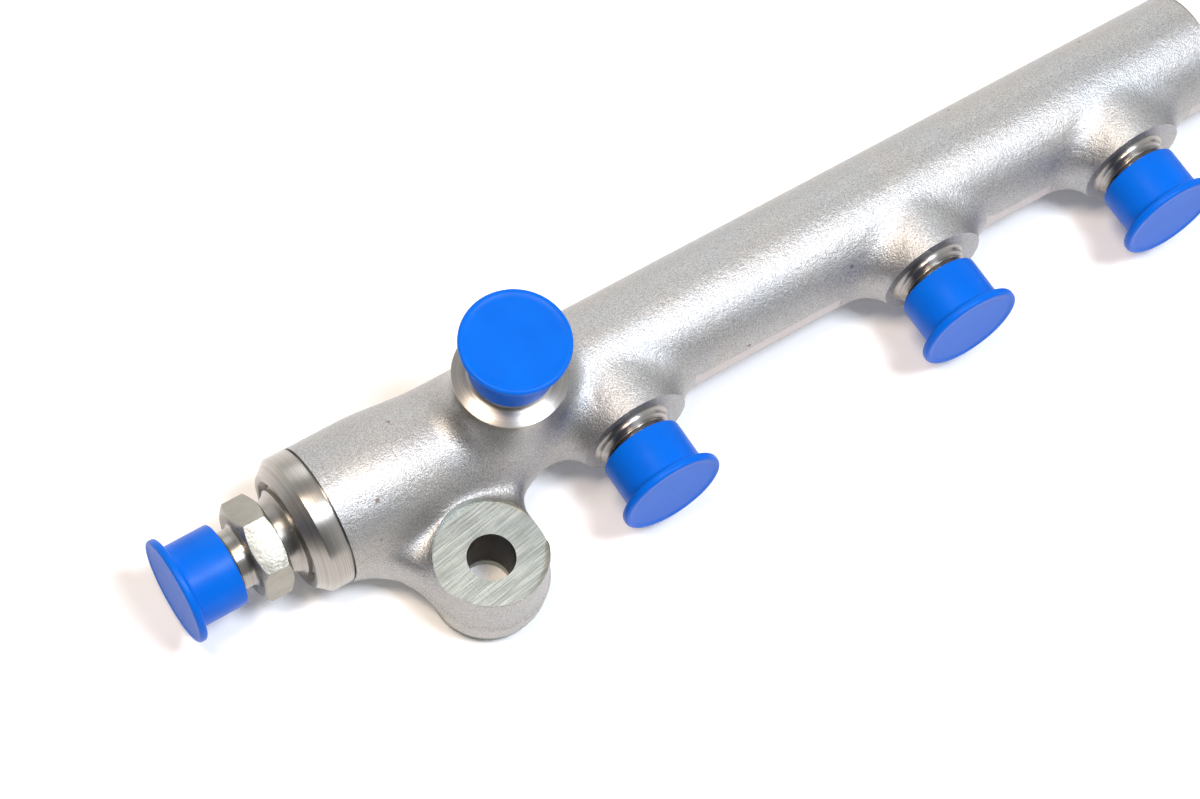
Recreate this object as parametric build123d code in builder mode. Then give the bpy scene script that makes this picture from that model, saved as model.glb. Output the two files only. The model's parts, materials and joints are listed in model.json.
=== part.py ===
"""Forged fuel rail of a four-cylinder diesel engine, with its relief valve and transport caps.

The rail lies along X. It stands on the undersides of its two bolt ears and on its end collars.
The origin is midway between the two bolt holes, on the seating plane, and +Z is the bolts' axis.
All sizes are in millimetres.
"""
from build123d import *
import math
import os

os.makedirs("parts", exist_ok=True)

# ---- bar: a forging that is thicker at both ends, with a turned collar at each end
bar_radius = 12.0
bar_bore_radius = 5.0
ear_to_bar_end = 22.0
end_radius = 13.3
end_length = 10.0
end_ease_length = 17.0
collar_radius = 13.4
collar_length = 4.4
collar_cone_length = 2.5
collar_face_radius = 11.2
collar_groove_depth = 0.5
collar_groove_width = 0.5
rail_offset_y = 23.2

# ---- stretch of plain bar that each forged boss and ear is first made on
stretch_margin = 12.0
ear_stretch_margin = 10.0

# ---- outlets to the injectors: tilted up from -Y
outlet_outer_x = 90.0
outlet_inner_x = 23.5
outlet_tilt = 4.0
outlet_boss_radius = 10.5
outlet_boss_shift = 1.0
outlet_boss_height = 15.2
outlet_root_length = 14.0
outlet_root_width = 11.3
outlet_fillet = 8.0
outlet_ring_radius = 9.4
outlet_ring_fillet = 2.3
outlet_end_height = 28.2
outlet_hole_radius = 1.5

# ---- inlet from the pump: on top, near the left ear
inlet_from_ear = 16.8
inlet_boss_radius = 10.2
inlet_boss_height = 17.6
inlet_disc_overlap = 0.6
inlet_root_length = 12.5
inlet_root_width = 10.5
inlet_fillet = 6.0
inlet_disc_radius = 10.6
inlet_disc_height = 18.6
inlet_dish_height = 0.8
inlet_ring_radius = 8.6
inlet_end_height = 31.3
inlet_hole_radius = 2.0

# ---- screw thread that every pipe connection has, M14 x 1.5, kept here as its root cylinder
thread_root_radius = 6.1
thread_neck_radius = 7.0
thread_chamfer = 0.8
seat_cone_radius = 4.6
seat_cone_half_angle = 30.0

# ---- throttles pressed in below the cones
throttle_radius = 2.6
throttle_length = 5.0
throttle_hole_radius = 0.45
throttle_mouth_radius = 1.2
press_clearance = 0.02

# ---- how far a turned shape reaches into the forging or the hexagon that it grows out of
join_overlap = 1.0

# ---- how near two measures are when they count as the same
same_size = 0.01
same_skin = 0.05

# ---- bolt ears
ear_spacing = 250.0
ear_radius = 11.0
ear_thickness = 15.1
ear_face_radius = 10.3
ear_hole_radius = 4.5
ear_parting_height = 7.4
ear_draft = 2.8
ear_underside = 2.0
ear_fillet = 5.0

# ---- screwed ends, M18 x 1.5
end_thread_radius = 9.0
end_thread_clearance = 0.05
end_thread_depth = 15.0
mouth_chamfer = 1.1

# ---- relief valve, measured outwards from the collar's face
valve_nose_radius = 8.0
valve_nose_length = 2.0
valve_lead_chamfer = 0.5
valve_neck_radius = 7.05
valve_flare_radius = 8.4
valve_flare_slope = 1.4
valve_neck_length = 3.0
valve_neck_land = 0.4
valve_hex_width = 17.0
valve_hex_length = 6.0
valve_hex_turn = 22.6
hex_chamfer_angle = 30.0
hex_face_share = 0.97
hex_corner_clearance = 0.1
valve_undercut_radius = 5.7
valve_undercut_length = 2.6
valve_stub_length = 12.9
valve_bore_radius = 3.5
valve_running_clearance = 0.05
valve_seat_radius = 4.2
valve_seat_length = 4.0
valve_seat_hole_radius = 0.7
valve_seat_cone_radius = 1.9
piston_length = 7.0
piston_tip_radius = 1.7
piston_tip_length = 1.6
piston_flat_distance = 2.9
piston_spigot_radius = 1.5
piston_spigot_length = 2.0
piston_front_gap = 0.2
spring_length = 7.0
spring_wire_radius = 0.5
spring_radius = 2.6
spring_turns = 5
shim_thickness = 0.8
shim_hole_radius = 1.6
stop_length = 5.0
stop_hole_radius = 1.4
stop_socket_width = 3.0
stop_socket_depth = 2.5

# ---- end plug and its washer
plug_flange_radius = 11.0
plug_flange_length = 1.6
plug_hex_width = 17.0
plug_hex_length = 7.0
plug_thread_length = 11.0
washer_radius = 11.0
washer_thickness = 1.5

# ---- transport caps
cap_flange_radius = 10.2
cap_flange_thickness = 1.6
cap_body_radius = 8.0
cap_clearance = 0.6
cap_web = 1.3
cap_bore_radius = 7.1
cap_rim_fillet = 0.6
cap_dish_depth = 0.25
cap_rim_width = 1.2
cap_seat_gap = 0.05

# ---- label
label_start_x = 48.0
label_width = 24.0
label_thickness = 0.15
label_gap = 0.02
label_arc = 225.0
label_front_angle = 165.0

# ---- places that follow from the sizes
ear_x = ear_spacing / 2
bar_half_length = ear_x + ear_to_bar_end
inlet_x = inlet_from_ear - ear_x
inlet_disc_foot = inlet_boss_height - inlet_disc_overlap
outlet_ring_top = outlet_boss_height + outlet_ring_fillet
inlet_dish_top = inlet_disc_height + inlet_dish_height
inlet_neck_top = inlet_dish_top + inlet_ring_radius - thread_neck_radius
shortest_stub = min(outlet_end_height - outlet_ring_top, inlet_end_height - inlet_neck_top,
                    valve_stub_length - valve_undercut_length)
cap_skirt_length = shortest_stub - cap_clearance
stretch_length = 2 * (outlet_root_length + stretch_margin)
ear_stretch_length = 2 * (ear_radius + ear_stretch_margin)
rail_axis_z = collar_radius
collar_face_x = bar_half_length + collar_length + collar_cone_length
shoulder_x = collar_face_x - end_thread_depth
outlet_places = [-outlet_outer_x, -outlet_inner_x, outlet_inner_x, outlet_outer_x]
rail_axis = Axis((0, rail_offset_y, rail_axis_z), (1, 0, 0))
rail_plane = Plane(origin=(0, rail_offset_y, rail_axis_z), x_dir=(1, 0, 0), z_dir=(0, 1, 0))
outlet_rise = math.radians(outlet_tilt)
seat_cone_slope = math.tan(math.radians(seat_cone_half_angle))
seat_cone_depth = (seat_cone_radius - throttle_radius - press_clearance) / seat_cone_slope
valve_end = valve_neck_length + valve_hex_length + valve_stub_length
seat_face = valve_seat_length - end_thread_depth
label_turn = math.radians(label_front_angle - label_arc)
label_plane = Plane(origin=(0, rail_offset_y, rail_axis_z), x_dir=(1, 0, 0),
                    z_dir=(0, -math.sin(label_turn), math.cos(label_turn)))
outlet_direction = (0, -math.cos(outlet_rise), math.sin(outlet_rise))


def outlet_plane(x, height=0.0):
    """Plane across an outlet's axis, at a height from the rail's axis."""
    return Plane(origin=(x, rail_offset_y, rail_axis_z), x_dir=(1, 0, 0), z_dir=outlet_direction).offset(height)


def inlet_plane(x, height=0.0):
    """Plane across the inlet's axis, at a height from the rail's axis."""
    return Plane(origin=(x, rail_offset_y, rail_axis_z), x_dir=(1, 0, 0), z_dir=(0, 0, 1)).offset(height)


def profile_plane(plane):
    """Plane that holds a turned profile: its y runs along the given plane's normal."""
    return Plane(origin=plane.origin, x_dir=plane.x_dir, z_dir=plane.x_dir.cross(plane.z_dir))


def turned_axis(plane):
    """The axis that a profile on profile_plane turns about."""
    return Axis(plane.origin, plane.z_dir)


def thread_root_face(bottom, top):
    """Turned profile of a connection's thread root, from its neck to its chamfered end face."""
    with BuildSketch() as root:
        with BuildLine():
            Polyline((0, bottom - join_overlap), (thread_neck_radius, bottom - join_overlap),
                     (thread_neck_radius, bottom),
                     (thread_root_radius, bottom + thread_neck_radius - thread_root_radius),
                     (thread_root_radius, top - thread_chamfer), (thread_root_radius - thread_chamfer, top),
                     (0, top), (0, bottom - join_overlap))
        make_face()
    return root.sketch


def passage_face(hole_radius, top):
    """Turned profile of the passage through a connection: hole, throttle pocket and seat cone."""
    pocket_top = top - seat_cone_depth
    with BuildSketch() as passage:
        with BuildLine():
            Polyline((0, 0), (hole_radius, 0), (hole_radius, pocket_top - throttle_length),
                     (throttle_radius + press_clearance, pocket_top - throttle_length),
                     (throttle_radius + press_clearance, pocket_top), (seat_cone_radius, top), (0, top), (0, 0))
        make_face()
    return passage.sketch


def hexagon_limit_face(start_x, end_x, flat_distance):
    """Turned profile that cuts the corners off both ends of a hexagon that lies along the rail's axis."""
    outward = math.copysign(1, end_x - start_x)
    corner = flat_distance / math.cos(math.pi / 6) + hex_corner_clearance
    depth = outward * (corner - hex_face_share * flat_distance) * math.tan(math.radians(hex_chamfer_angle))
    with BuildSketch() as limit:
        with BuildLine():
            Polyline((start_x, 0), (start_x, hex_face_share * flat_distance), (start_x + depth, corner),
                     (end_x - depth, corner), (end_x, hex_face_share * flat_distance), (end_x, 0), (start_x, 0))
        make_face()
    return limit.sketch


def valve_x(along):
    """Place along X of a point on the relief valve, measured outwards from the left collar's face."""
    return -(collar_face_x + along)


def valve_plane(along):
    """Plane across the rail's axis on the relief valve, facing outwards."""
    return Plane(origin=(valve_x(along), rail_offset_y, rail_axis_z), x_dir=(0, 1, 0), z_dir=(-1, 0, 0))


def plug_plane(along):
    """Plane across the rail's axis on the end plug, measured outwards from the right collar's face."""
    return Plane(origin=(collar_face_x + along, rail_offset_y, rail_axis_z), x_dir=(0, 1, 0), z_dir=(1, 0, 0))


def on_bar(edge):
    """True for an edge on the plain bar's skin, where a boss or an ear grows out of it."""
    spots = [edge.position_at(share) for share in (0.0, 0.25, 0.5, 0.75, 1.0)]
    off_skin = [abs(math.hypot(p.Y - rail_offset_y, p.Z - rail_axis_z) - bar_radius) for p in spots]
    end_ring = edge.geom_type == GeomType.CIRCLE and edge.length > math.tau * bar_radius - same_skin
    seam = edge.geom_type == GeomType.LINE and abs(edge.center().Y - rail_offset_y) < same_size
    return max(off_skin) < same_skin and not end_ring and not seam


# ==== forged shapes, each made on its own stretch of plain bar ====
with BuildPart() as outlet_forging:
    with BuildSketch(rail_plane):
        with Locations((0, bar_radius / 2)):
            Rectangle(stretch_length, bar_radius)
    revolve(axis=rail_axis)
    with BuildSketch(outlet_plane(0)):
        with Locations((outlet_boss_shift, 0)):
            Ellipse(outlet_root_length, outlet_root_width)
    with BuildSketch(outlet_plane(0, outlet_boss_height)):
        with Locations((outlet_boss_shift, 0)):
            Circle(outlet_boss_radius)
    loft()
    fillet(outlet_forging.edges().filter_by(on_bar), radius=outlet_fillet)

with BuildPart() as inlet_forging:
    with BuildSketch(rail_plane):
        with Locations((0, bar_radius / 2)):
            Rectangle(stretch_length, bar_radius)
    revolve(axis=rail_axis)
    with BuildSketch(inlet_plane(0)):
        Ellipse(inlet_root_length, inlet_root_width)
    with BuildSketch(inlet_plane(0, inlet_boss_height)):
        Circle(inlet_boss_radius)
    loft()
    fillet(inlet_forging.edges().filter_by(on_bar), radius=inlet_fillet)

with BuildPart() as ear_forging:
    with BuildSketch(rail_plane):
        with Locations((0, bar_radius / 2)):
            Rectangle(ear_stretch_length, bar_radius)
    revolve(axis=rail_axis)
    with BuildSketch(Plane.XY.offset(ear_parting_height)) as ear_outline:
        Circle(ear_radius)
        with Locations((0, rail_offset_y / 2)):
            Rectangle(2 * ear_radius, rail_offset_y)
    extrude(amount=ear_thickness - ear_parting_height, taper=ear_draft)
    extrude(ear_outline.sketch, amount=ear_underside - ear_parting_height, taper=ear_draft)
    fillet(ear_forging.edges().filter_by(on_bar), radius=ear_fillet)

# ==== rail body: the whole forging, then its machined faces, threads and bores ====
with BuildPart() as rail_body:
    # the bar, thicker at both ends, with the turned collars
    with BuildSketch(rail_plane):
        ease_x = bar_half_length - end_length
        waist_x = ease_x - end_ease_length
        groove_floor = collar_radius - collar_groove_depth
        with BuildLine():
            Line((0, bar_radius), (waist_x, bar_radius))
            Spline((waist_x, bar_radius), (ease_x, end_radius), tangents=((1, 0), (1, 0)))
            Polyline((ease_x, end_radius), (bar_half_length, end_radius), (bar_half_length, groove_floor),
                     (bar_half_length + collar_groove_width, groove_floor),
                     (bar_half_length + collar_groove_width, collar_radius),
                     (bar_half_length + collar_length, collar_radius),
                     (collar_face_x, collar_face_radius), (collar_face_x, 0), (0, 0))
            mirror(about=Plane.YZ)
        make_face()
    revolve(axis=rail_axis)

    # the forged ears and bosses
    for x in (-ear_x, ear_x):
        with Locations((x, 0, 0)):
            add(ear_forging.part)
    for x in outlet_places:
        with Locations((x, 0, 0)):
            add(outlet_forging.part)
    with Locations((inlet_x, 0, 0)):
        add(inlet_forging.part)

    # ears: milled top face, seat pad underneath and bolt hole
    for x in (-ear_x, ear_x):
        with BuildSketch(Plane.XY.offset(ear_thickness)):
            with Locations((x, 0)):
                Circle(ear_face_radius)
        extrude(amount=collar_radius, mode=Mode.SUBTRACT)
        with BuildSketch(Plane.XY):
            with Locations((x, 0)):
                Circle(ear_face_radius)
        extrude(amount=ear_underside)
        with BuildSketch(Plane.XY):
            with Locations((x, 0)):
                Circle(ear_hole_radius)
        extrude(amount=ear_thickness, mode=Mode.SUBTRACT)

    # outlets: turned ring, neck and thread root on each boss
    for x in outlet_places:
        with BuildSketch(profile_plane(outlet_plane(x))):
            ring_foot = outlet_boss_height - join_overlap
            with BuildLine():
                Polyline((0, outlet_ring_top), (0, ring_foot), (outlet_ring_radius, ring_foot),
                         (outlet_ring_radius, outlet_boss_height),
                         (thread_neck_radius + outlet_ring_fillet, outlet_boss_height))
                RadiusArc((thread_neck_radius + outlet_ring_fillet, outlet_boss_height),
                          (thread_neck_radius, outlet_ring_top), outlet_ring_fillet)
                Line((thread_neck_radius, outlet_ring_top), (0, outlet_ring_top))
            make_face()
            add(thread_root_face(outlet_ring_top, outlet_end_height))
        revolve(axis=turned_axis(outlet_plane(x)))

    # inlet: turned disc, neck and thread root
    with BuildSketch(profile_plane(inlet_plane(inlet_x))):
        with BuildLine():
            Polyline((0, inlet_neck_top), (0, inlet_disc_foot), (inlet_disc_radius, inlet_disc_foot),
                     (inlet_disc_radius, inlet_disc_height), (inlet_ring_radius, inlet_dish_top))
            RadiusArc((inlet_ring_radius, inlet_dish_top), (thread_neck_radius, inlet_neck_top),
                      inlet_ring_radius - thread_neck_radius)
            Line((thread_neck_radius, inlet_neck_top), (0, inlet_neck_top))
        make_face()
        add(thread_root_face(inlet_neck_top, inlet_end_height))
    revolve(axis=turned_axis(inlet_plane(inlet_x)))

    # bores: the main bore, both screwed ends, and the passage up through each connection
    with BuildSketch(rail_plane):
        with BuildLine():
            Polyline((0, bar_bore_radius), (shoulder_x, bar_bore_radius), (shoulder_x, end_thread_radius),
                     (collar_face_x - mouth_chamfer, end_thread_radius),
                     (collar_face_x, end_thread_radius + mouth_chamfer), (collar_face_x, 0), (0, 0))
            mirror(about=Plane.YZ)
        make_face()
    revolve(axis=rail_axis, mode=Mode.SUBTRACT)
    for x in outlet_places:
        with BuildSketch(profile_plane(outlet_plane(x))):
            add(passage_face(outlet_hole_radius, outlet_end_height))
        revolve(axis=turned_axis(outlet_plane(x)), mode=Mode.SUBTRACT)
    with BuildSketch(profile_plane(inlet_plane(inlet_x))):
        add(passage_face(inlet_hole_radius, inlet_end_height))
    revolve(axis=turned_axis(inlet_plane(inlet_x)), mode=Mode.SUBTRACT)

rail_body.part.label = "rail_body"
export_step(rail_body.part, "parts/rail_body.step")

# ==== throttles ====
throttle_places = {"inlet_throttle": inlet_plane(inlet_x, inlet_end_height - seat_cone_depth)}
for number, x in enumerate(outlet_places, start=1):
    throttle_places[f"outlet_throttle_{number}"] = outlet_plane(x, outlet_end_height - seat_cone_depth)
for name, top_plane in throttle_places.items():
    with BuildPart() as throttle:
        with BuildSketch(profile_plane(top_plane)):
            with BuildLine():
                Polyline((throttle_hole_radius, -throttle_length), (throttle_radius, -throttle_length),
                         (throttle_radius, 0), (throttle_mouth_radius, 0),
                         (throttle_hole_radius, throttle_hole_radius - throttle_mouth_radius),
                         (throttle_hole_radius, -throttle_length))
            make_face()
        revolve(axis=turned_axis(top_plane))
    throttle.part.label = name
    export_step(throttle.part, f"parts/{name}.step")

# ==== relief valve body ====
with BuildPart() as valve_hexagon:
    with BuildSketch(valve_plane(valve_neck_length)):
        RegularPolygon(valve_hex_width / 2, 6, major_radius=False, rotation=-valve_hex_turn)
    extrude(amount=valve_hex_length)
    with BuildSketch(rail_plane):
        add(hexagon_limit_face(valve_x(valve_neck_length), valve_x(valve_neck_length + valve_hex_length),
                               valve_hex_width / 2))
    revolve(axis=rail_axis, mode=Mode.INTERSECT)

with BuildPart() as relief_valve_body:
    hex_end = valve_neck_length + valve_hex_length
    neck_end = valve_neck_length + join_overlap
    stub_start = hex_end - join_overlap
    undercut_end = hex_end + valve_undercut_length
    thread_step = thread_root_radius - valve_undercut_radius
    valve_thread_radius = end_thread_radius - end_thread_clearance
    with BuildSketch(rail_plane):
        with BuildLine():
            Polyline((valve_x(-end_thread_depth), 0), (valve_x(-end_thread_depth), valve_nose_radius),
                     (valve_x(valve_nose_length - end_thread_depth), valve_nose_radius),
                     (valve_x(valve_nose_length + valve_lead_chamfer - end_thread_depth), valve_thread_radius),
                     (valve_x(-mouth_chamfer), valve_thread_radius),
                     (valve_x(-mouth_chamfer / 2), valve_flare_radius), (valve_x(0), valve_flare_radius))
            Spline((valve_x(0), valve_flare_radius), (valve_x(valve_neck_length - valve_neck_land), valve_neck_radius),
                   tangents=((-1, -valve_flare_slope), (-1, 0)))
            Polyline((valve_x(valve_neck_length - valve_neck_land), valve_neck_radius),
                     (valve_x(neck_end), valve_neck_radius), (valve_x(neck_end), 0),
                     (valve_x(-end_thread_depth), 0))
        make_face()
        with BuildLine():
            Polyline((valve_x(stub_start), 0), (valve_x(stub_start), valve_undercut_radius),
                     (valve_x(undercut_end), valve_undercut_radius),
                     (valve_x(undercut_end + thread_step), thread_root_radius),
                     (valve_x(valve_end - thread_chamfer), thread_root_radius),
                     (valve_x(valve_end), thread_root_radius - thread_chamfer), (valve_x(valve_end), 0),
                     (valve_x(stub_start), 0))
        make_face()
    revolve(axis=rail_axis)
    add(valve_hexagon.part)
    with BuildSketch(rail_plane):
        cone_start = valve_end - (seat_cone_radius - valve_bore_radius) / seat_cone_slope
        with BuildLine():
            Polyline((valve_x(-end_thread_depth), 0), (valve_x(-end_thread_depth), valve_seat_radius),
                     (valve_x(seat_face), valve_seat_radius), (valve_x(seat_face), valve_bore_radius),
                     (valve_x(cone_start), valve_bore_radius), (valve_x(valve_end), seat_cone_radius),
                     (valve_x(valve_end), 0), (valve_x(-end_thread_depth), 0))
        make_face()
    revolve(axis=rail_axis, mode=Mode.SUBTRACT)
relief_valve_body.part.label = "relief_valve_body"
export_step(relief_valve_body.part, "parts/relief_valve_body.step")

# ==== relief valve seat ====
with BuildPart() as relief_valve_seat:
    tip_slope = piston_tip_radius / piston_tip_length
    cone_depth = (valve_seat_cone_radius - valve_seat_hole_radius) / tip_slope
    with BuildSketch(rail_plane):
        with BuildLine():
            Polyline((valve_x(-end_thread_depth), valve_seat_hole_radius),
                     (valve_x(-end_thread_depth), valve_seat_radius - press_clearance),
                     (valve_x(seat_face), valve_seat_radius - press_clearance),
                     (valve_x(seat_face), valve_seat_cone_radius),
                     (valve_x(seat_face - cone_depth), valve_seat_hole_radius),
                     (valve_x(-end_thread_depth), valve_seat_hole_radius))
        make_face()
    revolve(axis=rail_axis)
relief_valve_seat.part.label = "relief_valve_seat"
export_step(relief_valve_seat.part, "parts/relief_valve_seat.step")

# ==== relief valve piston ====
with BuildPart() as relief_valve_piston:
    guide_radius = valve_bore_radius - valve_running_clearance
    tip_point = seat_face - valve_seat_cone_radius / tip_slope + press_clearance
    tip_base = tip_point + piston_tip_length
    guide_start = seat_face + piston_front_gap
    guide_end = guide_start + piston_length
    with BuildSketch(rail_plane):
        with BuildLine():
            Polyline((valve_x(tip_point), 0), (valve_x(tip_base), piston_tip_radius),
                     (valve_x(guide_start), piston_tip_radius), (valve_x(guide_start), guide_radius),
                     (valve_x(guide_end), guide_radius), (valve_x(guide_end), piston_spigot_radius),
                     (valve_x(guide_end + piston_spigot_length), piston_spigot_radius),
                     (valve_x(guide_end + piston_spigot_length), 0), (valve_x(tip_point), 0))
        make_face()
    revolve(axis=rail_axis)
    with BuildSketch(valve_plane(guide_start)):
        Circle(bar_radius)
        RegularPolygon(piston_flat_distance, 3, major_radius=False, mode=Mode.SUBTRACT)
    extrude(amount=piston_length, mode=Mode.SUBTRACT)
relief_valve_piston.part.label = "relief_valve_piston"
export_step(relief_valve_piston.part, "parts/relief_valve_piston.step")

# ==== relief valve spring: a coil between the piston and the shim ====
with BuildPart() as relief_valve_spring:
    coil_height = spring_length - 2 * spring_wire_radius
    coil_base = valve_plane(guide_end + spring_wire_radius)
    with BuildLine() as coil:
        Helix(coil_height / spring_turns, coil_height, spring_radius, center=coil_base.origin, direction=coil_base.z_dir)
    with BuildSketch(Plane(origin=coil.line @ 0, z_dir=coil.line % 0)):
        Circle(spring_wire_radius)
    sweep(path=coil.line, is_frenet=True)
relief_valve_spring.part.label = "relief_valve_spring"
export_step(relief_valve_spring.part, "parts/relief_valve_spring.step")

# ==== relief valve shim and stop ====
shim_start = guide_end + spring_length
stop_start = shim_start + shim_thickness
with BuildPart() as relief_valve_shim:
    with BuildSketch(valve_plane(shim_start)):
        Circle(guide_radius)
        Circle(shim_hole_radius, mode=Mode.SUBTRACT)
    extrude(amount=shim_thickness)
relief_valve_shim.part.label = "relief_valve_shim"
export_step(relief_valve_shim.part, "parts/relief_valve_shim.step")

with BuildPart() as relief_valve_stop:
    with BuildSketch(valve_plane(stop_start)):
        Circle(guide_radius)
        Circle(stop_hole_radius, mode=Mode.SUBTRACT)
    extrude(amount=stop_length)
    with BuildSketch(valve_plane(stop_start + stop_length)):
        RegularPolygon(stop_socket_width / 2, 6, major_radius=False)
    extrude(amount=-stop_socket_depth, mode=Mode.SUBTRACT)
relief_valve_stop.part.label = "relief_valve_stop"
export_step(relief_valve_stop.part, "parts/relief_valve_stop.step")

# ==== end plug and its washer ====
with BuildPart() as end_plug_washer:
    with BuildSketch(plug_plane(0)):
        Circle(washer_radius)
        Circle(end_thread_radius + end_thread_clearance, mode=Mode.SUBTRACT)
    extrude(amount=washer_thickness)
end_plug_washer.part.label = "end_plug_washer"
export_step(end_plug_washer.part, "parts/end_plug_washer.step")

with BuildPart() as end_plug:
    plug_hex_start = washer_thickness + plug_flange_length
    with BuildSketch(plug_plane(plug_hex_start)):
        RegularPolygon(plug_hex_width / 2, 6, major_radius=False)
    extrude(amount=plug_hex_length)
    with BuildSketch(rail_plane):
        add(hexagon_limit_face(collar_face_x + plug_hex_start, collar_face_x + plug_hex_start + plug_hex_length,
                               plug_hex_width / 2))
    revolve(axis=rail_axis, mode=Mode.INTERSECT)
    with BuildSketch(plug_plane(washer_thickness)):
        Circle(plug_flange_radius)
    extrude(amount=plug_flange_length)
    with BuildSketch(plug_plane(-plug_thread_length)):
        Circle(end_thread_radius - end_thread_clearance)
    extrude(amount=plug_thread_length + washer_thickness)
    chamfer(end_plug.edges().group_by(Axis.X)[0], length=mouth_chamfer)
end_plug.part.label = "end_plug"
export_step(end_plug.part, "parts/end_plug.step")

# ==== transport caps: each sits on the end face of its connection ====
cap_places = {"relief_valve_cap": valve_plane(valve_end),
              "inlet_cap": inlet_plane(inlet_x, inlet_end_height)}
for number, x in enumerate(outlet_places, start=1):
    cap_places[f"injector_cap_{number}"] = outlet_plane(x, outlet_end_height)
for name, end_plane in cap_places.items():
    with BuildPart() as cap:
        with BuildSketch(profile_plane(end_plane)):
            skirt_end = -cap_skirt_length
            flange_back = cap_web - cap_flange_thickness
            dish_edge = cap_flange_radius - cap_rim_width
            with BuildLine():
                Polyline((0, cap_seat_gap), (cap_bore_radius, cap_seat_gap), (cap_bore_radius, skirt_end),
                         (cap_body_radius, skirt_end), (cap_body_radius, flange_back),
                         (cap_flange_radius, flange_back), (cap_flange_radius, cap_web), (dish_edge, cap_web),
                         (dish_edge - cap_dish_depth, cap_web - cap_dish_depth),
                         (0, cap_web - cap_dish_depth), (0, cap_seat_gap))
            make_face()
        revolve(axis=turned_axis(end_plane))
        rims = cap.edges().filter_by(lambda edge: abs(edge.radius - cap_flange_radius) < same_size
                                     if edge.geom_type == GeomType.CIRCLE else False)
        fillet(rims, radius=cap_rim_fillet)
    cap.part.label = name
    export_step(cap.part, f"parts/{name}.step")

# ==== label: a strip wrapped round the bar ====
with BuildPart() as label:
    with BuildSketch(label_plane):
        with Locations((label_start_x + label_width / 2, bar_radius + label_gap + label_thickness / 2)):
            Rectangle(label_width, label_thickness)
    revolve(axis=rail_axis, revolution_arc=label_arc)
label.part.label = "label"
export_step(label.part, "parts/label.step")
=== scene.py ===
"""Fuel rail of a four-cylinder diesel engine: surfaces and fine shapes around its CAD model."""
import json
import math
import bpy
import numpy as np
from mathutils import Matrix, Vector


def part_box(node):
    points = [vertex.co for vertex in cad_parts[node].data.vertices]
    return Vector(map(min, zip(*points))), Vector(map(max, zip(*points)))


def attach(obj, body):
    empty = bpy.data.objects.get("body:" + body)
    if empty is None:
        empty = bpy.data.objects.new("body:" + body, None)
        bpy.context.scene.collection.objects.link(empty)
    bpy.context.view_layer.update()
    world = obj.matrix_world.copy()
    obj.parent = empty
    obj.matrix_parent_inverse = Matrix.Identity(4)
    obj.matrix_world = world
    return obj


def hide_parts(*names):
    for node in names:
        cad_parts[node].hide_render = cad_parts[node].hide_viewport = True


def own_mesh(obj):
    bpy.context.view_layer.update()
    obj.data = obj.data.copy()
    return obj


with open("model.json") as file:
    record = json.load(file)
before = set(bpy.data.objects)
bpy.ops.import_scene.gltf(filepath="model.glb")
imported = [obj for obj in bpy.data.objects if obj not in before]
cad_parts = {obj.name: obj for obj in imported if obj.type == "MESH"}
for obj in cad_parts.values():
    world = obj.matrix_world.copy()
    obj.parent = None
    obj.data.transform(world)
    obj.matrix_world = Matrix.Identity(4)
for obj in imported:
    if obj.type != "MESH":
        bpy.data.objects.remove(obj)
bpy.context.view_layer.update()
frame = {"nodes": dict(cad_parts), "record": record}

# ==== Camera: above the valve end, looking along the bar and over the outlets ====
# A long lens from about 0.65 m away, so the bar narrows only a little towards its far end.
camera_place = (-0.27829, -0.17701, 0.60200)
camera_turn = (24.066, -5.334, -32.227)
camera_lens = 105.69
bpy.ops.object.camera_add(location=camera_place,
                          rotation=[math.radians(turn) for turn in camera_turn])
camera = bpy.context.object
camera.data.lens = camera_lens
camera.data.sensor_width = 36.0
camera.data.clip_start = 0.01
bpy.context.scene.camera = camera
bpy.context.scene.view_settings.view_transform = "Standard"


# ==== Table: a sheet of matt white card, with two lamps, a reflector and a bright room ====
# The card reads as plain white, and only the shadows of the rail show on it.
def linear(colour):
    """Linear RGBA of an sRGB hex colour."""
    shares = [int(colour[i:i + 2], 16) / 255 for i in (1, 3, 5)]
    return [s / 12.92 if s <= 0.04045 else ((s + 0.055) / 1.055) ** 2.4 for s in shares] + [1.0]


def add_node(tree, kind, inputs=None, **settings):
    """Adds a node with its settings. An input given as another node's output is linked."""
    node = tree.nodes.new(kind)
    for name, value in settings.items():
        setattr(node, name, value)
    for name, value in (inputs or {}).items():
        if isinstance(value, bpy.types.NodeSocket):
            tree.links.new(value, node.inputs[name])
        else:
            node.inputs[name].default_value = value
    return node


def new_material(name):
    """A material with its node tree and its shader."""
    material = bpy.data.materials.new(name)
    material.use_nodes = True
    return material, material.node_tree, material.node_tree.nodes["Principled BSDF"]


table_size = 2.4
table_colour = "#F6F5F4"
table_glow = 0.10
bpy.ops.mesh.primitive_plane_add(size=table_size, location=(0, 0, 0))
table = bpy.context.object
table.name = "table"
# Cut card: matt and slightly warm, with a faint glow where it is seen, as if it were overlit.
card, tree, shader = new_material("matt_white_card")
rays = add_node(tree, "ShaderNodeLightPath")
seen = add_node(tree, "ShaderNodeMath", {0: rays.outputs["Is Camera Ray"],
                                         1: rays.outputs["Is Glossy Ray"]}, operation="MAXIMUM")
glow = add_node(tree, "ShaderNodeMath", {0: seen.outputs[0], 1: table_glow}, operation="MULTIPLY")
shader.inputs["Base Color"].default_value = linear(table_colour)
shader.inputs["Roughness"].default_value = 0.9
shader.inputs["Emission Color"].default_value = (1, 1, 1, 1)
tree.links.new(glow.outputs[0], shader.inputs["Emission Strength"])
table.data.materials.append(card)

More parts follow.
